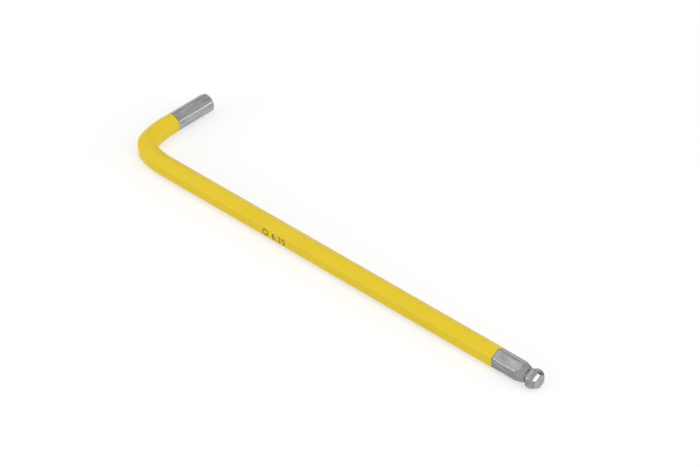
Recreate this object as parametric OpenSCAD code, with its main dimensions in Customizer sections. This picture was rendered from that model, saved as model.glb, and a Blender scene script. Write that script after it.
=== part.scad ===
// Hex key: one hexagonal steel bar bent into an L, with a chamfered end on the
// short arm, a ball end on the long arm, and a hard colour coat between them.
// It lies flat, on its lower edges. +X runs along the long arm towards the ball,
// +Y along the short arm away from the bend, and +Z points up.
// The origin is the bottom centre of the key's bounding box.

/* [Bar] */
// Size of the hexagon across its flats
across_flats = 6.35; // [5.5:0.05:7.5]
// Rounding of the bar's six long edges
edge_round = 0.25; // [0.1:0.05:0.8]
// Length of the long arm, from the outside of the bend to the tip of the ball
long_l = 191.3; // [100:0.1:260]
// Length of the short arm, from the outside of the bend to its end face
short_l = 39.5; // [38:0.5:70]
// Radius of the bend, measured to the middle of the bar
bend_r = 12.5; // [8:0.1:15]

/* [Chamfered end] */
// Diameter of the flat that the chamfer leaves on the end face
end_flat_d = 6.1; // [3:0.1:6.8]
// Slope of the chamfer, measured from the end face
end_chamfer_angle = 45; // [15:1:60]

/* [Ball end] */
// Distance from the tip to the widest place of the ball
ball_at = 2.45; // [2:0.05:3]
// How much larger the radius of the ball's faces is than a true sphere's
ball_ease = 0.3; // [0:0.05:2]
// Diameter of the flat on the tip
tip_flat_d = 4; // [4:0.1:5.6]
// Rounding between the flat tip and the ball's faces
tip_round = 1.9; // [1.7:0.05:2.6]
// Diameter of the neck at the bottom of the groove behind the ball
neck_d = 4; // [3.4:0.1:4.8]
// Distance from the tip to the middle of the groove
groove_at = 4.2; // [3.9:0.05:4.8]
// Width of the groove, which has a round bottom
groove_w = 0.75; // [0.4:0.05:1]
// Distance from the tip to where the turned shoulder leaves the bar's edges
shoulder_at = 7.85; // [6.5:0.05:12]
// Half-angle of the turned shoulder
shoulder_angle = 17.5; // [10:0.5:25]

/* [Colour coat] */
// Thickness of the coat on the steel
coat_t = 0.1; // [0.05:0.05:0.5]
// Length of bare steel behind the end face of the short arm
bare_short_l = 17; // [5:0.5:19]
// Length of bare steel behind the tip of the ball
bare_long_l = 17.5; // [13:0.5:60]

/* [Hidden] */
$fn = 96;

// Length of full bar that each worked end keeps, so that it joins the arm squarely
end_stub = 1;

// Outside radius of a rounded hexagon, over its corners
function corner_reach(flats, rounding) = (flats / 2 - rounding) / cos(30) + rounding;

bar_reach = corner_reach(across_flats, edge_round);
coat_flats = across_flats + 2 * coat_t;
coat_round = edge_round + coat_t;
coat_reach = corner_reach(coat_flats, coat_round);

// Arms measured from the point where their middle lines cross
long_axis_l = long_l - across_flats / 2;
short_axis_l = short_l - across_flats / 2;

// Depth of the short end's chamfer at the bar's corners
chamfer_l = max(0, bar_reach - end_flat_d / 2) * tan(end_chamfer_angle);
chamfered_l = chamfer_l + end_stub;

// The ball's faces are arcs about points this far beyond its middle line
ball_face_r = across_flats / 2 + ball_ease;

// Depth of the rounding at the tip, and how far from the middle line it turns
tip_round_x = bar_reach - tip_round;
tip_round_l = sqrt(pow(tip_round, 2) - pow(max(0, tip_flat_d / 2 - tip_round_x), 2));

groove_r = groove_w / 2;
groove_x = neck_d / 2 + groove_r;
ball_end_l = shoulder_at + end_stub;

// Radius of the shoulder's cone at a distance from the tip
function shoulder_r(from_tip) = bar_reach + (from_tip - shoulder_at) * tan(shoulder_angle);

// The box's middle is the origin, and the coat's lower corner is its bottom
box_centre_x = (long_axis_l - coat_flats / 2) / 2;
box_centre_y = (short_axis_l - coat_flats / 2) / 2;

// Hexagon with rounded corners, two of them straight above and below its middle
module hexagon_section(flats, rounding) {
    corner_x = corner_reach(flats, rounding) - rounding;
    for (turn = [30 : 60 : 330])
        rotate(turn)
            translate([corner_x, 0])
                circle(r = rounding);
    for (turn = [0 : 60 : 120])
        rotate(turn)
            square([flats, corner_x], center = true);
}

module bar_section() {
    hexagon_section(across_flats, edge_round);
}

// The coat's section: a thin ring around the bar
module coat_section() {
    difference() {
        hexagon_section(coat_flats, coat_round);
        bar_section();
    }
}

// Sweeps a section along the key's middle line. The long arm stops at long_to and
// the short arm at short_to, both measured from where the middle lines cross.
module sweep_key(long_to, short_to) {
    translate([bend_r, 0, 0])
        rotate([90, 0, 90])
            linear_extrude(long_to - bend_r)
                children();
    translate([bend_r, bend_r, 0])
        rotate(180)
            rotate_extrude(angle = 90)
                translate([bend_r, 0])
                    children();
    translate([0, bend_r, 0])
        rotate([90, 0, 180])
            linear_extrude(short_to - bend_r)
                children();
}

// Turned outline of the short arm's end: radius along x, distance from the face along y
module chamfer_outline() {
    polygon([
        [0, 0],
        [end_flat_d / 2, 0],
        [end_flat_d / 2 + chamfered_l / tan(end_chamfer_angle), chamfered_l],
        [0, chamfered_l]
    ]);
}

// Short arm's end, with the face at the origin and the bar running up
module chamfered_end() {
    intersection() {
        linear_extrude(chamfered_l)
            bar_section();
        rotate_extrude()
            chamfer_outline();
    }
}

// Side view of one pair of the ball's faces: two arcs that face each other. They
// run on inside the bar to the far side of the groove, so the neck is one piece.
module ball_face_outline() {
    intersection() {
        translate([ball_ease, ball_at])
            circle(r = ball_face_r);
        translate([-ball_ease, ball_at])
            circle(r = ball_face_r);
        translate([-ball_face_r, 0])
            square([2 * ball_face_r, groove_at + groove_r]);
    }
}

// The ball before turning: three pairs of curved faces, one for each pair of flats
module ball_faces() {
    intersection_for (turn = [0 : 60 : 120])
        rotate(turn)
            rotate([90, 0, 0])
                linear_extrude(4 * bar_reach, center = true)
                    ball_face_outline();
}

// Turned outline of the ball: a flat tip and a rounding out to the bar's corners
module ball_outline() {
    intersection() {
        union() {
            translate([tip_round_x, tip_round_l])
                circle(r = tip_round);
            square([tip_round_x, groove_at]);
            translate([0, tip_round_l])
                square([bar_reach, groove_at - tip_round_l]);
        }
        square([bar_reach, groove_at]);
    }
}

// Turned outline of the shoulder, from the groove out past the bar's corners
module shoulder_outline() {
    polygon([
        [0, groove_at],
        [shoulder_r(groove_at), groove_at],
        [shoulder_r(ball_end_l), ball_end_l],
        [0, ball_end_l]
    ]);
}

// The groove's outline: a round bottom, open to the outside
module groove_outline() {
    translate([groove_x, groove_at])
        circle(r = groove_r);
    translate([groove_x, groove_at - groove_r])
        square([bar_reach, groove_w]);
}

// Long arm's end, with the tip at the origin and the bar running up
module ball_end() {
    intersection() {
        union() {
            ball_faces();
            translate([0, 0, groove_at])
                linear_extrude(ball_end_l - groove_at)
                    bar_section();
        }
        rotate_extrude()
            difference() {
                union() {
                    ball_outline();
                    shoulder_outline();
                }
                groove_outline();
            }
    }
}

// Moves the crossing of the middle lines to its place in the key's frame
module in_frame() {
    translate([-box_centre_x, -box_centre_y, coat_reach])
        children();
}

module steel_bar() {
    color("#a4a6a8")
        in_frame() {
            sweep_key(long_axis_l - ball_end_l, short_axis_l - chamfered_l)
                bar_section();
            translate([long_axis_l, 0, 0])
                rotate([90, 0, -90])
                    ball_end();
            translate([0, short_axis_l, 0])
                rotate([90, 0, 0])
                    chamfered_end();
        }
}

module colour_coat() {
    color("#e2c83c")
        in_frame()
            sweep_key(long_axis_l - bare_long_l, short_axis_l - bare_short_l)
                coat_section();
}

steel_bar();
colour_coat();
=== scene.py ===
"""Looks of a hex key: an L-shaped bar of plated steel in a hard yellow coat.

The key is shaped in millimetres about the point where the middle lines of its two
arms cross, because fine cuts and roundings get lost at a thousandth of that size.
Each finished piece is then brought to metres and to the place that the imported
solids give it. It lies flat: the long arm along +X, the short arm along +Y.
"""

import logging
import math
from collections.abc import Callable, Iterator
from contextlib import contextmanager
from dataclasses import dataclass, field
from enum import Enum

import bmesh
import bpy
from mathutils import Matrix, Vector


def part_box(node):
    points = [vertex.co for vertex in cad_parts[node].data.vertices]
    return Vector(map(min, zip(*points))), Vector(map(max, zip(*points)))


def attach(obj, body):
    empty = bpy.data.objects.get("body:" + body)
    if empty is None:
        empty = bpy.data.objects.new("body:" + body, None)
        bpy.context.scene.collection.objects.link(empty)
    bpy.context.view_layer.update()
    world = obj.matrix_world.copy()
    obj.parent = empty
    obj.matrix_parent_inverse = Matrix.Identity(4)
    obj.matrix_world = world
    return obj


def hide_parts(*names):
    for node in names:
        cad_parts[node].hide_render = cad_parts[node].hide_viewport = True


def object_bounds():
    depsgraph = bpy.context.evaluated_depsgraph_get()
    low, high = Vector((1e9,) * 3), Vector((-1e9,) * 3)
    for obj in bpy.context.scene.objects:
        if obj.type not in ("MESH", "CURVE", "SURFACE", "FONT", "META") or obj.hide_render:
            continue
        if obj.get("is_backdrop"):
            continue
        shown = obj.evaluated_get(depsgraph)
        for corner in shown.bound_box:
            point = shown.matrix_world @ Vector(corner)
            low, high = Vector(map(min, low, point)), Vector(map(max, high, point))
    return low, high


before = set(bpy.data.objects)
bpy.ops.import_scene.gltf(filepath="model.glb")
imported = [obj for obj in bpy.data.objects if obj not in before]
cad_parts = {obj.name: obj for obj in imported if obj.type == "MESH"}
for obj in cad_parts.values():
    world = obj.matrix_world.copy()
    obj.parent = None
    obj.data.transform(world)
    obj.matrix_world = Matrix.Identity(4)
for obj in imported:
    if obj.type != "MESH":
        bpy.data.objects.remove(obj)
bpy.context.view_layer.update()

log = logging.getLogger("hex_key")

# The one body that all pieces ride on
BODY = "root"

# Width of the photograph, in pixels
PHOTO_WIDTH = 700

# One millimetre, in metres
MILLIMETRE = 0.001

# Vertices that lie closer together than this, in millimetres, are one
LAST_STEP = 1e-4

# How far large faces decide the shading of their corners, out of 100
LARGE_FACE_WEIGHT = 90

# How far a cutter starts in front of the face that it cuts, in millimetres
RUN_IN = 1.0

Point = tuple[float, float, float]
Pair = tuple[float, float]
Outline = list[Pair]
Colour = tuple[float, float, float]


class Arm(Enum):
    """The key's two arms, by the direction in which each runs from the bend."""

    LONG = "along +X"
    SHORT = "along +Y"


class Part(Enum):
    """What a pick in edit mode chooses."""

    VERTICES = "VERT"
    EDGES = "EDGE"
    FACES = "FACE"


def choose(piece: bpy.types.Object) -> None:
    """Selects one piece alone and makes it the active one.

    Args:
        piece: The piece.
    """
    bpy.ops.object.select_all(action="DESELECT")
    piece.select_set(True)
    bpy.context.view_layer.objects.active = piece


@contextmanager
def editing(piece: bpy.types.Object) -> Iterator[None]:
    """Opens one piece in edit mode, with nothing else selected.

    Args:
        piece: The mesh to work on.

    Yields:
        Nothing. The piece stays open until the block ends.
    """
    choose(piece)
    bpy.ops.object.mode_set(mode="EDIT")
    yield
    bpy.ops.object.mode_set(mode="OBJECT")


def pick(piece: bpy.types.Object, part: Part, wanted: Callable[[object], bool]) -> None:
    """Selects the vertices, edges or faces of the piece in edit mode that pass a test.

    Args:
        piece: The mesh that is open in edit mode.
        part: Which kind of element is picked.
        wanted: The test, given one vertex, edge or face.
    """
    bpy.ops.mesh.select_mode(type=part.value)
    bpy.ops.mesh.select_all(action="DESELECT")
    mesh = bmesh.from_edit_mesh(piece.data)
    elements = {Part.VERTICES: mesh.verts, Part.EDGES: mesh.edges, Part.FACES: mesh.faces}[part]
    for element in elements:
        if wanted(element):
            element.select_set(True)
    mesh.select_flush_mode()
    bmesh.update_edit_mesh(piece.data)


def push(step: Point) -> None:
    """Extrudes what is selected and moves it by a step in millimetres."""
    bpy.ops.mesh.extrude_region_move(TRANSFORM_OT_translate={"value": step})


def settle(piece: bpy.types.Object) -> None:
    """Writes an object's turn, size and place into its mesh."""
    choose(piece)
    bpy.ops.object.transform_apply(location=True, rotation=True, scale=True)


def close_up(piece: bpy.types.Object) -> None:
    """Merges doubled vertices and points every face outwards.

    Args:
        piece: The mesh to close.
    """
    with editing(piece):
        bpy.ops.mesh.select_all(action="SELECT")
        bpy.ops.mesh.remove_doubles(threshold=LAST_STEP)
        bpy.ops.mesh.normals_make_consistent(inside=False)


def add_modifier(piece: bpy.types.Object, kind: str) -> bpy.types.Modifier:
    """Chooses a piece alone and adds a modifier to it.

    Args:
        piece: The piece.
        kind: The modifier's type.

    Returns:
        The modifier, ready to be set.
    """
    choose(piece)
    bpy.ops.object.modifier_add(type=kind)
    return piece.modifiers[-1]


def finish_with(piece: bpy.types.Object, material: bpy.types.Material) -> None:
    """Gives a piece one material all over."""
    piece.data.materials.clear()
    piece.data.materials.append(material)


def smooth(piece: bpy.types.Object, crease_degrees: float) -> None:
    """Shades a piece smooth, but for its creases, and keeps its flats flat.

    Args:
        piece: The finished mesh.
        crease_degrees: The least angle between two faces that stays a crease.
    """
    choose(piece)
    bpy.ops.object.shade_smooth_by_angle(angle=math.radians(crease_degrees))
    weighting = add_modifier(piece, "WEIGHTED_NORMAL")
    weighting.keep_sharp = True
    weighting.weight = LARGE_FACE_WEIGHT
    bpy.ops.object.modifier_apply(modifier=weighting.name)


# Angle between the direction of a hexagon's corner and that of the flat beside it
HALF_CORNER = math.radians(30)


@dataclass(frozen=True)
class HexSection:
    """A hexagon with rounded corners, two of them straight above and below its middle.

    Attributes:
        across_flats: Distance between opposite flats, in millimetres.
        edge_round: Radius of the corners.
        round_steps: Faces round one corner.
        flat_cuts: Cuts across each flat, for a piece whose rim isn't quite straight.
    """

    across_flats: float
    edge_round: float
    round_steps: int = 8
    flat_cuts: int = 0

    @property
    def flat_at(self) -> float:
        """Distance from the middle to a flat."""
        return self.across_flats / 2

    @property
    def sharp_reach(self) -> float:
        """Distance from the middle to a corner before it is rounded."""
        return self.flat_at / math.cos(HALF_CORNER)

    @property
    def reach(self) -> float:
        """Distance from the middle to the top of a rounded corner."""
        return (self.flat_at - self.edge_round) / math.cos(HALF_CORNER) + self.edge_round

    def lay(self, name: str, along_short_arm: float) -> bpy.types.Object:
        """Lays the section across the short arm, as a flat face.

        Args:
            name: Name of the new piece.
            along_short_arm: Its distance from the crossing, in millimetres.

        Returns:
            The piece, with its one face selected.
        """
        bpy.ops.mesh.primitive_circle_add(
            vertices=6,
            radius=self.sharp_reach,
            fill_type="NGON",
            location=(0, along_short_arm, 0),
            rotation=(math.radians(90), 0, 0),
        )
        piece = bpy.context.object
        piece.name = name
        piece.data.name = name
        settle(piece)
        with editing(piece):
            bpy.ops.mesh.select_all(action="SELECT")
            bpy.ops.mesh.bevel(
                offset_type="OFFSET",
                offset=self.edge_round * math.tan(HALF_CORNER),
                segments=self.round_steps,
                profile=0.5,
                affect="VERTICES",
            )
            if self.flat_cuts:
                least_flat = self.across_flats / 4
                pick(piece, Part.EDGES, lambda edge: edge.calc_length() > least_flat)
                bpy.ops.mesh.subdivide(number_cuts=self.flat_cuts)
            bpy.ops.mesh.select_all(action="SELECT")
        return piece


@dataclass(frozen=True)
class BendArc:
    """One stretch of the bend, as an arc about a centre.

    Attributes:
        centre: The arc's centre, in millimetres from the crossing.
        degrees: How far the bar turns along it.
        steps: Faces along it.
    """

    centre: Point
    degrees: float
    steps: int


@dataclass(frozen=True)
class MiddleLine:
    """The line that both arms and the bend follow, in millimetres from the crossing.

    A bar that is bent cold turns tightest at the middle of its bend and more
    easily on each side of it, so the bend has three arcs.

    Attributes:
        long_arm: Distance from the crossing to the tip of the ball.
        short_arm: Distance from the crossing to the short arm's end face.
        tight_radius: Radius of the bend's middle stretch.
        easy_radius: Radius of the stretch on each side of it.
        easy_degrees: How far the bar turns along each of those.
        easy_steps: Faces along each of those.
        tight_steps: Faces along the middle stretch.
    """

    long_arm: float
    short_arm: float
    tight_radius: float = 8.85
    easy_radius: float = 32.6
    easy_degrees: float = 17.0
    easy_steps: int = 14
    tight_steps: int = 44

    @property
    def setback(self) -> float:
        """Where each arm's straight part starts.

        Returns:
            The distance from the crossing, in millimetres.
        """
        turn = math.radians(self.easy_degrees)
        tight = self.tight_radius * (math.cos(turn) - math.sin(turn))
        return tight + self.easy_radius * (1 + math.sin(turn) - math.cos(turn))

    def arcs(self) -> list[BendArc]:
        """Works out the bend's arcs.

        Returns:
            The arcs, from the short arm to the long arm.
        """
        turn = math.radians(self.easy_degrees)
        apart = self.easy_radius - self.tight_radius
        first = Vector((self.easy_radius, self.setback, 0))
        tight = first - apart * Vector((math.cos(turn), math.sin(turn), 0))
        last = Vector((self.setback, self.easy_radius, 0))
        return [
            BendArc(tuple(first), self.easy_degrees, self.easy_steps),
            BendArc(tuple(tight), 90 - 2 * self.easy_degrees, self.tight_steps),
            BendArc(tuple(last), self.easy_degrees, self.easy_steps),
        ]

    def sweep(self, short_to: float, long_to: float) -> None:
        """Sweeps the selected section along the line, in edit mode.

        Args:
            short_to: Where the section lies on the short arm.
            long_to: Where the sweep ends on the long arm.
        """
        push((0, self.setback - short_to, 0))
        for arc in self.arcs():
            bpy.ops.mesh.spin(
                steps=arc.steps,
                angle=math.radians(arc.degrees),
                center=arc.centre,
                axis=(0, 0, -1),
            )
        push((long_to - self.setback, 0, 0))


@dataclass(frozen=True)
class LatheCut:
    """A ring-shaped cutter: what a lathe takes off round the end of an arm.

    Attributes:
        arm: The arm whose end is turned.
        end: Distance from the crossing to the arm's end.
        outline: The turned outline and the ring's far side, as pairs of distance
            from the end and radius, in millimetres.
        steps: Faces round the ring.
    """

    arm: Arm
    end: float
    outline: Outline
    steps: int = 192

    def place(self, from_end: float, radius: float) -> Vector:
        """Places a point of the outline, before it is spun.

        Args:
            from_end: Its distance from the arm's end.
            radius: Its distance from the middle line.

        Returns:
            The point, in millimetres from the crossing.
        """
        if self.arm is Arm.LONG:
            return Vector((self.end - from_end, 0, radius))
        return Vector((0, self.end - from_end, radius))

    def build(self) -> bpy.types.Object:
        """Draws the outline point by point, closes it and spins it round the arm.

        Returns:
            The cutter, as a closed mesh.
        """
        points = [self.place(*pair) for pair in self.outline]
        bpy.ops.mesh.primitive_plane_add(size=1, location=points[0])
        cutter = bpy.context.object
        settle(cutter)
        with editing(cutter):
            bpy.ops.mesh.select_all(action="SELECT")
            bpy.ops.mesh.merge(type="CENTER")
            for here, there in zip(points, points[1:]):
                push(tuple(there - here))
            pick(cutter, Part.VERTICES, lambda vertex: self.is_end(vertex, points))
            bpy.ops.mesh.edge_face_add()
            bpy.ops.mesh.select_all(action="SELECT")
            axis = (1, 0, 0) if self.arm is Arm.LONG else (0, 1, 0)
            bpy.ops.mesh.spin(steps=self.steps, angle=math.tau, center=(0, 0, 0), axis=axis)
        close_up(cutter)
        return cutter

    @staticmethod
    def is_end(vertex: bmesh.types.BMVert, points: list[Vector]) -> bool:
        """Whether a vertex is the first or the last of the outline's points."""
        return any((vertex.co - end).length < LAST_STEP for end in (points[0], points[-1]))

    def apply_to(self, bar: bpy.types.Object) -> None:
        """Cuts the bar with the ring and throws the ring away.

        Args:
            bar: The closed mesh to cut.
        """
        cutter = self.build()
        cut = add_modifier(bar, "BOOLEAN")
        cut.operation = "DIFFERENCE"
        cut.solver = "EXACT"
        cut.object = cutter
        bpy.ops.object.modifier_apply(modifier=cut.name)
        bpy.data.objects.remove(cutter, do_unlink=True)


def arc_points(centre: Pair, radius: float, start: float, stop: float, steps: int) -> Outline:
    """Points along an arc of an outline.

    Args:
        centre: Distance from the end and radius of the arc's centre.
        radius: The arc's own radius.
        start: Angle of its first point, in degrees from the direction away from the end.
        stop: Angle of its last point.
        steps: Number of steps between them.

    Returns:
        The points, as pairs of distance from the end and radius.
    """
    points = []
    for step in range(steps + 1):
        angle = math.radians(start + (stop - start) * step / steps)
        points.append((centre[0] + radius * math.cos(angle), centre[1] + radius * math.sin(angle)))
    return points


@dataclass(frozen=True)
class ChamferedEnd:
    """The short arm's end: a flat face inside a turned chamfer.

    Attributes:
        flat_diameter: Diameter of the flat that the chamfer leaves, in millimetres.
        angle: Slope of the chamfer, in degrees from the end face.
        break_radius: Rounding where the chamfer meets the face.
        break_steps: Faces along that rounding.
        outside: How far out the cutter reaches.
        clearance: How far inside the rounding the cutter comes in front of the face.
        stand_off: How far in front of the face it stays there.
    """

    flat_diameter: float = 6.1
    angle: float = 45.0
    break_radius: float = 0.12
    break_steps: int = 6
    outside: float = 6.0
    clearance: float = 0.02
    stand_off: float = 0.002

    def outline(self) -> Outline:
        """The cutter's outline, from in front of the face round to behind the chamfer.

        Returns:
            Pairs of distance from the end face and radius.
        """
        slope = math.radians(self.angle)
        edge = self.flat_diameter / 2
        rounded_from = edge - self.break_radius * math.tan(slope / 2)
        inside = rounded_from - self.clearance
        centre = (self.break_radius, rounded_from)
        behind = (self.outside - edge) * math.tan(slope)
        points = [(-RUN_IN, inside), (-self.stand_off, inside)]
        points += arc_points(centre, self.break_radius, 180, 180 - self.angle, self.break_steps)
        points += [(behind, self.outside), (-RUN_IN, self.outside)]
        return points


@dataclass(frozen=True)
class BallEnd:
    """The long arm's end: a ball with six curved faces on a turned neck.

    Distances are in millimetres from the tip.

    Attributes:
        widest_at: Where the ball is widest.
        face_ease: How much larger the radius of its faces is than a true ball's.
        tip_diameter: Diameter of the flat on the tip.
        tip_round: Rounding between the flat and the faces.
        neck_diameter: Diameter at the bottom of the groove behind the ball.
        groove_at: Middle of the groove.
        groove_width: Width of the groove, whose bottom is round.
        shoulder_at: Where the turned shoulder leaves the bar's corners.
        shoulder_angle: Half-angle of the shoulder, in degrees.
        heel_round: Rounding of the ball's faces where they meet the groove.
        outside: How far out the cutter reaches.
        clearance: How far the cutter stays outside the bar's corners over the ball.
        rings: Faces along the ball.
        tip_steps: Faces along the tip's rounding.
        tip_stop: Where the cutter leaves that rounding, in degrees of its arc.
        tip_run: Length over which it then comes clear of the ball.
        groove_steps: Faces along the groove's round bottom.
    """

    widest_at: float = 2.45
    face_ease: float = 0.3
    tip_diameter: float = 4.0
    tip_round: float = 1.9
    neck_diameter: float = 4.0
    groove_at: float = 4.2
    groove_width: float = 0.75
    shoulder_at: float = 7.85
    shoulder_angle: float = 17.5
    heel_round: float = 0.12
    outside: float = 6.0
    clearance: float = 0.06
    rings: int = 48
    tip_steps: int = 30
    tip_stop: float = 92.0
    tip_run: float = 0.3
    groove_steps: int = 24

    @property
    def heel(self) -> float:
        """Where the ball's faces end at the groove."""
        return self.groove_at - self.groove_width / 2

    def face_reach(self, section: HexSection, from_tip: float) -> float:
        """Distance from the middle to a curved face.

        Args:
            section: The bar's section.
            from_tip: Distance from the tip.

        Returns:
            The distance, in millimetres.
        """
        radius = section.flat_at + self.face_ease
        reach = math.sqrt(radius**2 - (from_tip - self.widest_at) ** 2) - self.face_ease
        into_round = min(max(from_tip - self.heel + self.heel_round, 0.0), self.heel_round)
        return reach - self.heel_round + math.sqrt(self.heel_round**2 - into_round**2)

    def draw_faces(self, section: HexSection, tip: float) -> None:
        """Goes on from the bar's end, in edit mode, ring by ring to the tip.

        Args:
            section: The bar's section.
            tip: Distance from the crossing to the tip.
        """
        reach = section.flat_at
        here = self.groove_at
        first = self.groove_at - self.groove_width / 4
        for ring in range(self.rings + 1):
            there = first * (1 - ring / self.rings)
            push((here - there, 0, 0))
            wanted = self.face_reach(section, there)
            share = wanted / reach
            bpy.ops.transform.resize(value=(1, share, share), center_override=(tip - there, 0, 0))
            reach = wanted
            here = there

    def outline(self, section: HexSection) -> Outline:
        """The cutter's outline: tip rounding, clearance over the ball, groove and shoulder.

        Args:
            section: The bar's section.

        Returns:
            Pairs of distance from the tip and radius.
        """
        over = section.reach + self.clearance
        round_centre = section.reach - self.tip_round
        depth = math.sqrt(self.tip_round**2 - (self.tip_diameter / 2 - round_centre) ** 2)
        groove_radius = self.groove_width / 2
        shoulder = math.radians(self.shoulder_angle)
        slope = math.tan(shoulder)
        bottom = self.neck_diameter / 2 + groove_radius
        over_groove = section.reach + (self.groove_at - self.shoulder_at) * slope
        rise = math.degrees(math.asin((over_groove - bottom) * math.cos(shoulder) / groove_radius))
        groove_stop = 360 + self.shoulder_angle + rise
        behind = self.groove_at + (self.outside - over_groove) / slope
        points = [(-RUN_IN, round_centre)]
        points += arc_points((depth, round_centre), self.tip_round, 180, self.tip_stop, self.tip_steps)
        points += [(depth + self.tip_run, over), (self.heel, over)]
        points += arc_points((self.groove_at, bottom), groove_radius, 180, groove_stop, self.groove_steps)
        points += [(behind, self.outside), (-RUN_IN, self.outside)]
        return points


@dataclass(frozen=True)
class Frame:
    """Where the key lies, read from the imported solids.

    Attributes:
        across_flats: Size of the bar's hexagon, in millimetres.
        edge_round: Rounding of its corners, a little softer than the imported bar's 0.25.
        coat_thickness: Thickness of the coat.
    """

    across_flats: float = 6.35
    edge_round: float = 0.4
    coat_thickness: float = 0.1

    def crossing(self) -> Vector:
        """Finds where the middle lines cross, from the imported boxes.

        Returns:
            The crossing in the key's frame, in metres.
        """
        low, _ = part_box("colour_coat")
        low_steel, high_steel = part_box("steel_bar")
        inset = (self.across_flats / 2 + self.coat_thickness) * MILLIMETRE
        middle = (low_steel.z + high_steel.z) / 2
        return Vector((low.x + inset, low.y + inset, middle))

    def line(self) -> MiddleLine:
        """Draws the middle line.

        Returns:
            The line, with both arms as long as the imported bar's.
        """
        _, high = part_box("steel_bar")
        reach = (high - self.crossing()) / MILLIMETRE
        return MiddleLine(long_arm=reach.x, short_arm=reach.y)

    def seat(self, piece: bpy.types.Object) -> None:
        """Brings a piece from millimetres about the crossing to metres in its place.

        Args:
            piece: The finished piece.
        """
        piece.scale = (MILLIMETRE,) * 3
        piece.location = self.crossing()
        settle(piece)
        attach(piece, BODY)


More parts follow.
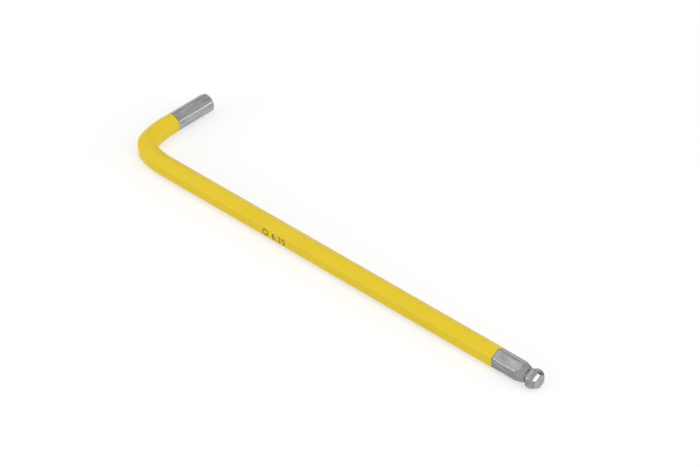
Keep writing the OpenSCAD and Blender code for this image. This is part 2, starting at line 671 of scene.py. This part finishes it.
class NodeBoard:
    """The nodes of a material or of the world, laid out and joined from code."""

    def __init__(self, owner: bpy.types.Material | bpy.types.World, output: str) -> None:
        """Clears the owner's nodes and adds its output.

        Args:
            owner: What the nodes belong to.
            output: The output's type, without its ShaderNode prefix.
        """
        owner.use_nodes = True
        self.nodes = owner.node_tree.nodes
        self.links = owner.node_tree.links
        self.nodes.clear()
        self.surface = self.add(output).inputs["Surface"]

    def add(self, kind: str, **settings: object) -> bpy.types.Node:
        """Adds a node.

        Args:
            kind: The node's type, without its ShaderNode prefix.
            **settings: Values for the node's own properties.

        Returns:
            The new node.
        """
        node = self.nodes.new("ShaderNode" + kind)
        for key, value in settings.items():
            setattr(node, key, value)
        return node

    def join(self, source: bpy.types.NodeSocket, target: bpy.types.NodeSocket) -> None:
        """Joins an output to an input."""
        self.links.new(source, target)

    def feed(self, socket: bpy.types.NodeSocket, value: object) -> None:
        """Joins a socket to an input, or writes a plain value into it.

        Args:
            socket: The input.
            value: A socket or a plain value.
        """
        if isinstance(value, bpy.types.NodeSocket):
            self.join(value, socket)
        else:
            socket.default_value = value

    def math(self, operation: str, *values: object) -> bpy.types.NodeSocket:
        """Adds a Math node.

        Args:
            operation: What it does.
            *values: What it works on, numbers or sockets.

        Returns:
            The result's socket.
        """
        node = self.add("Math", operation=operation)
        for socket, value in zip(node.inputs, values):
            self.feed(socket, value)
        return node.outputs[0]

    def mix_shaders(
        self, share: bpy.types.NodeSocket, low: bpy.types.Node, high: bpy.types.Node
    ) -> bpy.types.NodeSocket:
        """Mixes two shaders.

        Args:
            share: How much of the second shows.
            low: The first shader's node.
            high: The second's.

        Returns:
            The mixture's socket.
        """
        mix = self.add("MixShader")
        self.join(share, mix.inputs[0])
        self.join(low.outputs[0], mix.inputs[1])
        self.join(high.outputs[0], mix.inputs[2])
        return mix.outputs[0]

    def place(self) -> bpy.types.NodeSocket:
        """The place on the piece, in metres."""
        return self.add("TexCoord").outputs["Object"]

    def stretched(self, place: bpy.types.NodeSocket, scale: Point) -> bpy.types.NodeSocket:
        """Stretches the place, so that a pattern on it is finer one way than another.

        Args:
            place: The place on the piece.
            scale: How many features there are to a metre, each way.

        Returns:
            The stretched place.
        """
        node = self.add("Mapping")
        node.inputs["Scale"].default_value = scale
        self.join(place, node.inputs["Vector"])
        return node.outputs[0]

    def noise(
        self, place: bpy.types.NodeSocket, detail: float, roughness: float = 0.5
    ) -> bpy.types.NodeSocket:
        """A noise pattern on a stretched place.

        Args:
            place: Where the pattern is read.
            detail: How many finer layers it has.
            roughness: How strong those are.

        Returns:
            Its value, from 0 to 1.
        """
        node = self.add("TexNoise")
        node.inputs["Scale"].default_value = 1.0
        node.inputs["Detail"].default_value = detail
        node.inputs["Roughness"].default_value = roughness
        self.join(place, node.inputs["Vector"])
        return node.outputs[0]

    def span(
        self,
        value: bpy.types.NodeSocket,
        source: Pair,
        target: Pair = (0, 1),
        interpolation: str = "LINEAR",
    ) -> bpy.types.NodeSocket:
        """Maps a value from one span to another.

        Args:
            value: The value.
            source: The span that it comes in.
            target: The span that it leaves in.
            interpolation: How it goes from one end to the other.

        Returns:
            The mapped value, kept inside its span.
        """
        node = self.add("MapRange", interpolation_type=interpolation)
        self.join(value, node.inputs["Value"])
        node.inputs["From Min"].default_value = source[0]
        node.inputs["From Max"].default_value = source[1]
        node.inputs["To Min"].default_value = target[0]
        node.inputs["To Max"].default_value = target[1]
        return node.outputs[0]

    def blend_places(
        self, share: bpy.types.NodeSocket, low: bpy.types.NodeSocket, high: bpy.types.NodeSocket
    ) -> bpy.types.NodeSocket:
        """Goes over from one stretched place to another.

        Args:
            share: How much of the second counts.
            low: The first place.
            high: The second.

        Returns:
            The place between them.
        """
        return self.blend("Vector", share, low, high)

    def blend_colours(
        self, share: bpy.types.NodeSocket, low: bpy.types.NodeSocket | Colour, high: Colour
    ) -> bpy.types.NodeSocket:
        """Mixes two colours.

        Args:
            share: How much of the second shows.
            low: The first, a plain colour or a socket.
            high: The second.

        Returns:
            The mixture's socket.
        """
        first = low if isinstance(low, bpy.types.NodeSocket) else (*low, 1.0)
        return self.blend("Color", share, first, (*high, 1.0))

    def blend(
        self, kind: str, share: bpy.types.NodeSocket, low: object, high: object
    ) -> bpy.types.NodeSocket:
        """Adds a Mix node.

        Args:
            kind: Color or Vector.
            share: How much of the second value counts.
            low: The first value.
            high: The second.

        Returns:
            The mixture's socket.
        """
        node = self.add("Mix", data_type="RGBA" if kind == "Color" else "VECTOR")
        sockets = {socket.identifier: socket for socket in node.inputs}
        self.join(share, sockets["Factor_Float"])
        self.feed(sockets["A_" + kind], low)
        self.feed(sockets["B_" + kind], high)
        outputs = {socket.identifier: socket for socket in node.outputs}
        return outputs["Result_" + kind]

    def bump(
        self, height: bpy.types.NodeSocket, depth: float, before: bpy.types.NodeSocket | None = None
    ) -> bpy.types.NodeSocket:
        """Raises a surface by a pattern.

        Args:
            height: The pattern, from 0 to 1.
            depth: How high its hills are, in metres.
            before: The normal of a coarser bump below this one.

        Returns:
            The new normal.
        """
        node = self.add("Bump")
        node.inputs["Distance"].default_value = depth
        self.join(height, node.inputs["Height"])
        if before is not None:
            self.join(before, node.inputs["Normal"])
        return node.outputs[0]


def new_material(name: str) -> tuple[bpy.types.Material, NodeBoard]:
    """A new material and the board of its nodes."""
    material = bpy.data.materials.new(name)
    return material, NodeBoard(material, "OutputMaterial")


@dataclass(frozen=True)
class PlatedSteel:
    """Satin plated steel: fine grain along the bar, turned marks at the ball end.

    Lengths are in metres, and a pattern's scale is how many features it has to a metre.

    Attributes:
        dark: Colour of the plating in its darker cloudy patches.
        light: Colour in the lighter ones.
        rim: Tint where the plating is seen edge on.
        rim_shade: Colour of the fine dark line where the coat ends, painted shade of the coat's step on the
            steel.
        rim_shade_width: Width of that painted shade.
        grain: Scale of the drawn grain, along the bar and across it.
        grain_depth: Depth of the grain.
        grain_share: How much the grain counts in the colour, beside the clouds.
        streaks: Scale of the cloudy streaks on the flats, along the bar and across it.
        mottle: Scale of the clouds on the turned surfaces.
        marks: Scale of the turned marks, along the long arm and across it.
        turned_depth: Depth of those marks.
        turned_blend: Length over which the flats' grain gives way to them.
        pits: Scale of the finest pits.
        pit_share: Depth of the pits, as a share of the grain's.
        cloud_span: Values of the clouds between which they count in the colour.
        shade_span: Values of clouds and grain together, from dark to light.
        polish: Least and most roughness.
        polish_span: Values of the clouds from one to the other.
        short_arm_from: Where the short arm's bare steel is told from the long arm's,
            along Y.
    """

    dark: Colour = (0.300, 0.302, 0.306)
    light: Colour = (0.500, 0.502, 0.508)
    rim: Colour = (0.71, 0.71, 0.72)
    # Painted shade: a fine dark band on the steel just past the coat's edge, standing for the shade at the
    # coat's step
    rim_shade: Colour = (0.09, 0.09, 0.09)
    rim_shade_width: float = 3.0e-4
    grain: Pair = (150, 5200)
    grain_depth: float = 1.5e-6
    grain_share: float = 0.35
    streaks: Pair = (190, 1050)
    mottle: float = 1700
    marks: Pair = (6500, 90)
    turned_depth: float = 6e-6
    turned_blend: float = 8e-4
    pits: float = 9000
    pit_share: float = 0.4
    cloud_span: Pair = (0.32, 0.68)
    shade_span: Pair = (0.1, 1.2)
    polish: Pair = (0.22, 0.32)
    polish_span: Pair = (0.35, 0.65)
    short_arm_from: float = 0.0

    def material(self, turned_from: float, rims: Vector) -> bpy.types.Material:
        """Mixes the finish.

        Args:
            turned_from: Where the turned surfaces start, in metres along X.
            rims: Where the coat ends, in metres: along X on the long arm and along Y
                on the short arm.

        Returns:
            The material.
        """
        material, board = new_material("plated_steel")
        place = board.place()
        split = board.add("SeparateXYZ")
        board.join(place, split.inputs[0])
        along_x, along_y, _ = split.outputs
        on_short_arm = board.math("GREATER_THAN", along_y, self.short_arm_from)
        half_blend = self.turned_blend / 2
        turned = board.span(along_x, (turned_from - half_blend, turned_from + half_blend))
        drawn_out = self.drawn_place(board, place, on_short_arm, self.grain)
        grain = board.noise(drawn_out, detail=3.0, roughness=0.6)
        streaks = self.drawn_place(board, place, on_short_arm, self.streaks)
        mottle = board.stretched(place, (self.mottle,) * 3)
        clouds = board.noise(board.blend_places(turned, streaks, mottle), detail=3.0, roughness=0.55)
        along, across = self.marks
        marks = board.noise(board.stretched(place, (along, across, across)), detail=2.0)
        pits = board.noise(board.stretched(place, (self.pits,) * 3), detail=1.0)

        shader = board.add("BsdfPrincipled")
        shader.inputs["Metallic"].default_value = 1.0
        shader.inputs["Specular Tint"].default_value = (*self.rim, 1)
        cloudy = board.span(clouds, self.cloud_span)
        shade = board.math("MULTIPLY_ADD", grain, self.grain_share, cloudy)
        plating = board.blend_colours(board.span(shade, self.shade_span), self.dark, self.light)
        # Painted shade: the steel is darkened under the coat and over a fine band just past its edge, where
        # the coat's step would shade it
        long_rim_shade = board.span(along_x, (rims.x, rims.x + self.rim_shade_width), (1, 0))
        short_rim_shade = board.span(along_y, (rims.y, rims.y + self.rim_shade_width), (1, 0))
        in_rim_shade = board.math("MULTIPLY", long_rim_shade, short_rim_shade)
        board.join(board.blend_colours(in_rim_shade, plating, self.rim_shade), shader.inputs["Base Color"])
        board.join(board.span(clouds, self.polish_span, self.polish), shader.inputs["Roughness"])

        left_drawn = board.math("SUBTRACT", 1.0, turned)
        drawn = board.bump(board.math("MULTIPLY", grain, left_drawn), self.grain_depth)
        cut = board.bump(board.math("MULTIPLY", marks, turned), self.turned_depth, drawn)
        pitted = board.bump(pits, self.grain_depth * self.pit_share, cut)
        board.join(pitted, shader.inputs["Normal"])
        board.join(shader.outputs[0], board.surface)
        return material

    @staticmethod
    def drawn_place(
        board: NodeBoard, place: bpy.types.NodeSocket, on_short_arm: bpy.types.NodeSocket, scale: Pair
    ) -> bpy.types.NodeSocket:
        """Stretches the place along whichever arm it lies on, as the bar was drawn.

        Args:
            board: The material's nodes.
            place: The place on the piece.
            on_short_arm: Whether it lies on the short arm.
            scale: The pattern's scale, along the arm and across it.

        Returns:
            The stretched place.
        """
        along, across = scale
        long_arm = board.stretched(place, (along, across, across))
        short_arm = board.stretched(place, (across, along, across))
        return board.blend_places(on_short_arm, long_arm, short_arm)


@dataclass(frozen=True)
class HardCoat:
    """A satin yellow coat, baked on: faintly dimpled, a shade deeper in places.

    A pattern's scale is how many features it has to a metre.

    Attributes:
        deep: Colour where the coat is thickest.
        thin: Colour where it is thinnest.
        drift: Scale of its thicker and thinner places.
        drift_share: How much they count in its colour.
        dimples: Scale of its dimples.
        dimple_share: How much those count in its colour.
        dimple_depth: Depth of the dimples, in metres.
        dust: Scale of the dust under it.
        dust_share: Height of the dust, as a share of the dimples' depth.
        tone_span: Values of both patterns together, from deep to thin.
        polish: Least and most roughness.
        polish_span: Values of the dimples from one to the other.
        gloss: How strongly it shines.
    """

    deep: Colour = (0.797, 0.577, 0.006)
    thin: Colour = (0.828, 0.609, 0.010)
    drift: float = 95
    drift_share: float = 0.8
    dimples: float = 1150
    dimple_share: float = 0.3
    dimple_depth: float = 9e-6
    dust: float = 7000
    dust_share: float = 0.08
    tone_span: Pair = (0.3, 0.8)
    polish: Pair = (0.40, 0.52)
    polish_span: Pair = (0.3, 0.7)
    gloss: float = 0.4

    def material(self) -> bpy.types.Material:
        """Mixes the finish.

        Returns:
            The material.
        """
        material, board = new_material("yellow_coat")
        place = board.place()
        dimpled_place = board.stretched(place, (self.dimples,) * 3)
        dimples = board.noise(dimpled_place, detail=1.5, roughness=0.45)
        drift = board.noise(board.stretched(place, (self.drift,) * 3), detail=2.0)
        dust = board.noise(board.stretched(place, (self.dust,) * 3), detail=0.0)

        shader = board.add("BsdfPrincipled")
        shader.inputs["Specular IOR Level"].default_value = self.gloss
        from_dimples = board.math("MULTIPLY", dimples, self.dimple_share)
        tone = board.math("MULTIPLY_ADD", drift, self.drift_share, from_dimples)
        colour = board.blend_colours(board.span(tone, self.tone_span), self.deep, self.thin)
        board.join(colour, shader.inputs["Base Color"])
        board.join(board.span(dimples, self.polish_span, self.polish), shader.inputs["Roughness"])
        dimpled = board.bump(dimples, self.dimple_depth)
        dusty = board.bump(dust, self.dimple_depth * self.dust_share, dimpled)
        board.join(dusty, shader.inputs["Normal"])
        board.join(shader.outputs[0], board.surface)
        return material


@dataclass(frozen=True)
class StampInk:
    """Black ink of the size mark, a little patchy where it took less well.

    Attributes:
        full: Colour where the ink is full.
        worn: Colour where it is thin.
        patches: Scale of those places, as features to a metre.
        patch_depth: How much thinner the ink is there, in metres.
        worn_span: Values of the pattern from full to worn.
        polish: Least and most roughness.
        polish_span: Values of the pattern from one to the other.
    """

    full: Colour = (0.012, 0.011, 0.009)
    worn: Colour = (0.050, 0.042, 0.016)
    patches: float = 2600
    patch_depth: float = 2e-6
    worn_span: Pair = (0.45, 0.75)
    polish: Pair = (0.42, 0.6)
    polish_span: Pair = (0.3, 0.7)

    def material(self) -> bpy.types.Material:
        """Mixes the ink.

        Returns:
            The material.
        """
        material, board = new_material("stamp_ink")
        patches = board.noise(board.stretched(board.place(), (self.patches,) * 3), detail=3.0)
        shader = board.add("BsdfPrincipled")
        colour = board.blend_colours(board.span(patches, self.worn_span), self.full, self.worn)
        board.join(colour, shader.inputs["Base Color"])
        board.join(board.span(patches, self.polish_span, self.polish), shader.inputs["Roughness"])
        board.join(board.bump(patches, self.patch_depth), shader.inputs["Normal"])
        board.join(shader.outputs[0], board.surface)
        return material


@dataclass
class SteelBar:
    """The bent steel bar, with its chamfered end and its ball end.

    Attributes:
        seat: Where the key lies.
        chamfer: The short arm's end.
        ball: The long arm's end.
        finish: The bar's finish.
        crease_degrees: The least angle between two faces that stays a crease.
    """

    seat: Frame
    chamfer: ChamferedEnd = field(default_factory=ChamferedEnd)
    ball: BallEnd = field(default_factory=BallEnd)
    finish: PlatedSteel = field(default_factory=PlatedSteel)
    crease_degrees: float = 13.0

    def build(self) -> bpy.types.Object:
        """Draws the bar from its short end, turns both ends and dresses it.

        Returns:
            The finished piece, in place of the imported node.
        """
        line = self.seat.line()
        section = HexSection(self.seat.across_flats, self.seat.edge_round)
        bar = section.lay("bent_bar", line.short_arm)
        with editing(bar):
            bpy.ops.mesh.select_all(action="SELECT")
            line.sweep(line.short_arm, line.long_arm - self.ball.groove_at)
            self.ball.draw_faces(section, line.long_arm)
        close_up(bar)
        LatheCut(Arm.SHORT, line.short_arm, self.chamfer.outline()).apply_to(bar)
        LatheCut(Arm.LONG, line.long_arm, self.ball.outline(section)).apply_to(bar)
        close_up(bar)
        self.seat.seat(bar)
        smooth(bar, self.crease_degrees)
        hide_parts("steel_bar")
        self.dress(bar)
        return bar

    def dress(self, bar: bpy.types.Object) -> None:
        """Gives the bar its finish.

        Args:
            bar: The finished mesh.
        """
        _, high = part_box("steel_bar")
        _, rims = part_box("colour_coat")
        turned_from = high.x - self.ball.shoulder_at * MILLIMETRE
        finish_with(bar, self.finish.material(turned_from, rims))


@dataclass
class ColourCoat:
    """The coat: a thin closed shell that leaves both ends of the bar bare.

    Attributes:
        seat: Where the key lies.
        rim_round: Rounding of the coat's outer rim, in millimetres.
        rim_draw: How far the coat draws back at the bar's corners.
        rim_draw_from: Where that starts, as a share of the way from a flat's middle
            to a corner's top.
        rim_strip: Length of the strip beside each rim that this bends.
        rim_steps: Faces round the rim's rounding.
        flat_cuts: Cuts across each flat, so that the rim can curve there.
        skin_near: How near to a rim a point of the thin skin still counts as on it.
        shell_near: The same on the thickened coat.
        finish: The coat's finish.
        crease_degrees: The least angle between two faces that stays a crease.
    """

    seat: Frame
    rim_round: float = 0.05
    rim_draw: float = 0.07
    rim_draw_from: float = 0.55
    rim_strip: float = 1.0
    rim_steps: int = 3
    flat_cuts: int = 5
    skin_near: float = 0.01
    shell_near: float = 0.2
    finish: HardCoat = field(default_factory=HardCoat)
    crease_degrees: float = 32.0

    def build(self) -> bpy.types.Object:
        """Sweeps the outer skin, thickens it inwards and softens its rims.

        Returns:
            The finished piece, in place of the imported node.
        """
        line = self.seat.line()
        origin = self.seat.crossing()
        _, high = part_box("colour_coat")
        rims = (high - origin) / MILLIMETRE
        thickness = self.seat.coat_thickness
        section = HexSection(
            across_flats=self.seat.across_flats + 2 * thickness,
            edge_round=self.seat.edge_round + thickness,
            flat_cuts=self.flat_cuts,
        )
        strip = self.rim_strip
        coat = section.lay("colour_coat_skin", rims.y)
        with editing(coat):
            bpy.ops.mesh.select_all(action="SELECT")
            push((0, -strip, 0))
            line.sweep(rims.y - strip, rims.x - strip)
            push((strip, 0, 0))
            # Only the two flat ends have more than four corners
            pick(coat, Part.FACES, lambda face: len(face.verts) > 4)
            bpy.ops.mesh.delete(type="ONLY_FACE")
            self.draw_back_corners(coat, section, rims)
        close_up(coat)
        self.thicken(coat, thickness)
        self.soften_rims(coat, section, rims)
        self.seat.seat(coat)
        smooth(coat, self.crease_degrees)
        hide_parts("colour_coat")
        self.dress(coat)
        return coat

    def draw_back_corners(self, coat: bpy.types.Object, section: HexSection, rims: Vector) -> None:
        """Draws each rim back a little at the bar's corners, where a coat runs thin.

        Args:
            coat: The skin, open in edit mode.
            section: The skin's section.
            rims: Where the two rims lie, in millimetres from the crossing.
        """
        corner = section.flat_at + self.rim_draw_from * (section.reach - section.flat_at)
        ends = (
            (lambda co: abs(co.y - rims.y) < self.skin_near and math.hypot(co.x, co.z) > corner, (0, 1, 0)),
            (lambda co: abs(co.x - rims.x) < self.skin_near and math.hypot(co.y, co.z) > corner, (1, 0, 0)),
        )
        for at_corner, outwards in ends:
            pick(coat, Part.VERTICES, lambda vertex: at_corner(vertex.co))
            bpy.ops.transform.translate(value=tuple(-self.rim_draw * part for part in outwards))

    def thicken(self, coat: bpy.types.Object, thickness: float) -> None:
        """Gives the skin its thickness, inwards to the steel.

        Args:
            coat: The open skin.
            thickness: The coat's thickness, in millimetres.
        """
        shell = add_modifier(coat, "SOLIDIFY")
        shell.thickness = thickness
        shell.offset = -1
        shell.use_even_offset = True
        shell.use_rim = True
        bpy.ops.object.modifier_apply(modifier=shell.name)

    def soften_rims(self, coat: bpy.types.Object, section: HexSection, rims: Vector) -> None:
        """Rounds the outer edge of both rims.

        Args:
            coat: The closed shell.
            section: The skin's section.
            rims: Where the two rims lie, in millimetres from the crossing.
        """
        outside = section.flat_at - self.seat.coat_thickness / 2
        with editing(coat):
            pick(
                coat,
                Part.EDGES,
                lambda edge: all(self.on_rim(vertex.co, rims, outside) for vertex in edge.verts),
            )
            bpy.ops.mesh.bevel(
                offset_type="OFFSET",
                offset=self.rim_round,
                segments=self.rim_steps,
                profile=0.5,
                affect="EDGES",
            )

    def on_rim(self, point: Vector, rims: Vector, outside: float) -> bool:
        """Tells whether a point of the shell lies on the outer edge of a rim.

        Args:
            point: The point.
            rims: Where the two rims lie, in millimetres from the crossing.
            outside: The least distance from the middle that is outside.

        Returns:
            Whether it does.
        """
        at_short = abs(point.y - rims.y) < self.shell_near
        at_long = abs(point.x - rims.x) < self.shell_near
        return (at_short and self.flat_reach(point.x, point.z) > outside) or (
            at_long and self.flat_reach(point.y, point.z) > outside
        )

    @staticmethod
    def flat_reach(across: float, up: float) -> float:
        """How far a point of the section lies from the middle, square to its nearest flat.

        Args:
            across: Its distance to the side.
            up: Its height.

        Returns:
            The distance, in millimetres.
        """
        turns = (math.radians(degrees) for degrees in (0, 60, 120))
        return max(abs(across * math.cos(turn) + up * math.sin(turn)) for turn in turns)

    def dress(self, coat: bpy.types.Object) -> None:
        """Gives the coat its finish."""
        finish_with(coat, self.finish.material())


@dataclass
class SizeMark:
    """The size of the hexagon, printed on the outward flat of the long arm.

    A hexagon sign and the plain number of millimetres across the flats.

    Attributes:
        seat: Where the key lies.
        number: What is printed.
        start: Where the sign's middle lies, in millimetres from the crossing.
        height: Height of the numbers.
        height_share: The same as a share of the type's size.
        spread: How far the numbers are set apart, 1 being the type's own spacing.
        sign_reach: Distance from the sign's middle to its corners.
        sign_line: Width of the sign's line.
        film: How far the ink stands up from the coat.
        ink: The ink's finish.
    """

    seat: Frame
    number: str = "6.35"
    start: float = 69.0
    height: float = 2.4
    height_share: float = 0.7
    spread: float = 1.12
    sign_reach: float = 1.45
    sign_line: float = 0.34
    film: float = 0.012
    ink: StampInk = field(default_factory=StampInk)

    def build(self) -> bpy.types.Object:
        """Prints the sign and the number, and joins them.

        Returns:
            The finished piece.
        """
        face = -(self.seat.across_flats / 2 + self.seat.coat_thickness)
        sign = self.print_sign(face)
        number = self.print_number(face)
        bpy.ops.object.select_all(action="DESELECT")
        number.select_set(True)
        sign.select_set(True)
        bpy.context.view_layer.objects.active = sign
        bpy.ops.object.join()
        self.seat.seat(sign)
        finish_with(sign, self.ink.material())
        return sign

    def print_sign(self, face: float) -> bpy.types.Object:
        """Draws the hexagon sign.

        Args:
            face: Where the coat's outward flat lies, in millimetres along Y.

        Returns:
            The sign's mesh.
        """
        bpy.ops.mesh.primitive_circle_add(
            vertices=6,
            radius=self.sign_reach,
            fill_type="NGON",
            location=(self.start, face + self.film, 0),
            rotation=(math.radians(90), 0, 0),
        )
        sign = bpy.context.object
        sign.name = "size_mark"
        sign.data.name = "size_mark"
        settle(sign)
        with editing(sign):
            bpy.ops.mesh.select_all(action="SELECT")
            bpy.ops.mesh.inset(thickness=self.sign_line)
            bpy.ops.mesh.delete(type="FACE")
            bpy.ops.mesh.select_all(action="SELECT")
            push((0, -2 * self.film, 0))
        close_up(sign)
        return sign

    def print_number(self, face: float) -> bpy.types.Object:
        """Prints the number after the sign.

        Args:
            face: Where the coat's outward flat lies, in millimetres along Y.

        Returns:
            The number's mesh.
        """
        place = (self.start + 2 * self.sign_reach, face, -self.height / 2)
        bpy.ops.object.text_add(location=place, rotation=(math.radians(90), 0, 0))
        number = bpy.context.object
        number.data.body = self.number
        number.data.size = self.height / self.height_share
        number.data.space_character = self.spread
        number.data.extrude = self.film
        bpy.ops.object.convert(target="MESH")
        number = bpy.context.object
        settle(number)
        return number


@dataclass(frozen=True)
class PaleFloor:
    """A plain pale floor that looks white from the camera and keeps the key's shadow.

    Attributes:
        tone: How much light it throws back at the key.
        seen_tone: How much light it shows to the camera and in the steel.
        lift: Even light that it adds there, which softens the shadow.
        reflected_shade_lift: The same as the steel shows it on the long arm's outer side, lower there as
            painted shade in the steel's reflection of the floor.
        reflected_shade_edge: Where that side starts, in metres along Y.
    """

    tone: Colour = (0.80, 0.80, 0.80)
    seen_tone: Colour = (0.50, 0.50, 0.50)
    lift: float = 0.56
    # Painted shade: the floor beyond the long arm's outer side glows less, but only as the steel reflects
    # it
    reflected_shade_lift: float = 0.30
    reflected_shade_edge: float = -0.0195

    def material(self) -> bpy.types.Material:
        """Mixes the floor's two looks, by the kind of ray that meets it.

        Returns:
            The material.
        """
        material, board = new_material("pale_floor")
        rays = board.add("LightPath").outputs
        seen = board.math("MAXIMUM", rays["Is Camera Ray"], rays["Is Glossy Ray"])
        seen = board.math("MAXIMUM", seen, rays["Is Transmission Ray"])
        plain = board.add("BsdfDiffuse")
        plain.inputs["Color"].default_value = (*self.tone, 1)
        shown = board.add("BsdfDiffuse")
        shown.inputs["Color"].default_value = (*self.seen_tone, 1)
        split = board.add("SeparateXYZ")
        board.join(board.place(), split.inputs[0])
        # Painted shade: in the steel's reflections the floor beyond the long arm's outer side glows less,
        # standing for the shade near the key
        near = board.math("LESS_THAN", split.outputs[1], self.reflected_shade_edge)
        reflected_shade = board.math("MULTIPLY", near, rays["Is Glossy Ray"])
        glow = board.add("Emission")
        board.join(board.span(reflected_shade, (0, 1), (self.lift, self.reflected_shade_lift)), glow.inputs["Strength"])
        bright = board.add("AddShader")
        board.join(shown.outputs[0], bright.inputs[0])
        board.join(glow.outputs[0], bright.inputs[1])
        board.join(board.mix_shaders(seen, plain, bright), board.surface)
        return material


@dataclass(frozen=True)
class Softbox:
    """A square soft lamp that is aimed at the key.

    Attributes:
        name: Name of the lamp.
        place: Where it hangs, in metres.
        side: Length of its sides.
        power: Its power, in watts.
    """

    name: str
    place: Point
    side: float
    power: float

    def hang(self) -> None:
        """Hangs the lamp."""
        lamp = bpy.data.lights.new(self.name, "AREA")
        lamp.shape = "SQUARE"
        lamp.size = self.side
        lamp.energy = self.power
        holder = bpy.data.objects.new(self.name, lamp)
        bpy.context.scene.collection.objects.link(holder)
        holder.location = self.place
        holder.rotation_euler = (-Vector(self.place)).to_track_quat("-Z", "Y").to_euler()


@dataclass(frozen=True)
class DimGap:
    """A round gap in the even light, where there is less of it.

    Attributes:
        towards: The direction in which it lies.
        edge: Cosine of the angle from there at which the light starts to fade.
        core: Cosine of the angle within which it is dimmest.
        keeps: How much of the light is left there.
    """

    towards: Point
    edge: float
    core: float
    keeps: float

    def dim(
        self, board: NodeBoard, direction: bpy.types.NodeSocket, light: bpy.types.NodeSocket | float
    ) -> bpy.types.NodeSocket:
        """Dims the even light in the gap.

        Args:
            board: The world's nodes.
            direction: The direction that is looked in.
            light: The light's strength so far.

        Returns:
            The dimmed strength.
        """
        nearness = board.add("VectorMath", operation="DOT_PRODUCT")
        board.join(direction, nearness.inputs[0])
        nearness.inputs[1].default_value = Vector(self.towards).normalized()
        share = board.span(
            nearness.outputs["Value"], (self.edge, self.core), (1.0, self.keeps), "SMOOTHSTEP"
        )
        return board.math("MULTIPLY", share, light)


@dataclass
class Studio:
    """The floor, the even light all round and the soft lamps.

    Attributes:
        floor: The floor's finish.
        floor_side: Length of the floor's sides, in metres.
        fill: Strength of the even light.
        gaps: Where the even light is dim, which draws the steel's dark lines.
        lamps: The soft lamps.
    """

    floor: PaleFloor = field(default_factory=PaleFloor)
    floor_side: float = 8.0
    fill: float = 0.72
    gaps: tuple[DimGap, ...] = (
        DimGap((0.25, 0.95, 0.12), 0.85, 0.97, 0.15),
        DimGap((-0.565, 0.56, 0.60), 0.89, 0.96, 0.04),
    )
    lamps: tuple[Softbox, ...] = (
        Softbox("key_softbox", (0.90, -0.24, 0.84), 0.60, 3.3),
        Softbox("right_softbox", (1.04, 0.68, 0.36), 0.54, 3.4),
        Softbox("left_softbox", (-0.72, -1.01, 0.31), 0.34, 2.4),
        Softbox("low_softbox", (-1.13, -0.60, 0.10), 0.20, 0.9),
        Softbox("top_softbox", (-0.73, -0.33, 1.02), 0.70, 0.60),
        Softbox("back_softbox", (-0.80, 0.90, 0.30), 0.60, 0.9),
    )

    def build(self) -> None:
        """Sets up the studio round the key."""
        low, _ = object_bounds()
        bpy.ops.mesh.primitive_plane_add(size=self.floor_side, location=(0, 0, low[2]))
        plane = bpy.context.object
        plane.name = "floor"
        plane.data.materials.append(self.floor.material())
        plane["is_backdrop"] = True
        for lamp in self.lamps:
            lamp.hang()
        self.light_all_round()

    def light_all_round(self) -> None:
        """Lights the key evenly, before a background that the camera sees as white."""
        world = bpy.data.worlds.new("even_light")
        board = NodeBoard(world, "OutputWorld")
        direction = board.add("TexCoord").outputs["Generated"]
        strength = self.fill
        for gap in self.gaps:
            strength = gap.dim(board, direction, strength)
        even = board.add("Background")
        board.feed(even.inputs["Strength"], strength)
        seen = board.add("Background")
        seen.inputs["Strength"].default_value = 1.0
        for background in (even, seen):
            background.inputs["Color"].default_value = (1, 1, 1, 1)
        camera_ray = board.add("LightPath").outputs["Is Camera Ray"]
        board.join(board.mix_shaders(camera_ray, even, seen), board.surface)
        bpy.context.scene.world = world


@dataclass(frozen=True)
class PhotoCamera:
    """A camera that sees the key as the photograph does.

    Attributes:
        aim: The point in the middle of the picture, in metres.
        azimuth: Degrees from +X to the camera, seen from above.
        elevation: Degrees that it looks down.
        roll: Degrees that it is turned about its own line of sight.
        distance: Distance from the aim, in metres.
        focal_pixels: Focal length, in pixels of the photograph.
        sensor: Width of the camera's sensor, in millimetres.
        sees_from: The nearest that it sees, in metres.
        sees_to: The farthest.
    """

    aim: Point = (-0.003544, 0.000301, 0.001726)
    azimuth: float = -44.541
    elevation: float = 37.603
    roll: float = -2.249
    distance: float = 1.03159
    focal_pixels: float = 3081.14
    sensor: float = 36.0
    sees_from: float = 0.01
    sees_to: float = 50.0

    def build(self) -> None:
        """Sets up the camera and makes it the scene's own."""
        around = math.radians(self.azimuth)
        above = math.radians(self.elevation)
        turn = math.radians(self.roll)
        level_part = math.cos(above)
        back = Vector((level_part * math.cos(around), level_part * math.sin(around), math.sin(above)))
        level = Vector((0, 0, 1)).cross(back).normalized()
        upright = back.cross(level)
        right = level * math.cos(turn) + upright * math.sin(turn)
        up = upright * math.cos(turn) - level * math.sin(turn)
        lens = bpy.data.cameras.new("photo_camera")
        lens.sensor_fit = "HORIZONTAL"
        lens.sensor_width = self.sensor
        lens.lens = self.focal_pixels * self.sensor / PHOTO_WIDTH
        lens.clip_start = self.sees_from
        lens.clip_end = self.sees_to
        camera = bpy.data.objects.new("photo_camera", lens)
        bpy.context.scene.collection.objects.link(camera)
        turned = Matrix((right, up, back)).transposed().to_4x4()
        turned.translation = Vector(self.aim) + back * self.distance
        camera.matrix_world = turned
        bpy.context.scene.camera = camera


def main() -> None:
    """Builds the key piece by piece, then the studio and the camera."""
    logging.basicConfig(level=logging.INFO, format="%(name)s: %(message)s")
    seat = Frame()
    pieces = (SteelBar(seat), ColourCoat(seat), SizeMark(seat))
    for piece in pieces:
        made = piece.build()
        log.info("%s: %d faces", made.name, len(made.data.polygons))
    Studio().build()
    PhotoCamera().build()
    bpy.context.scene.view_settings.view_transform = "Standard"


if __name__ == "__main__":
    main()
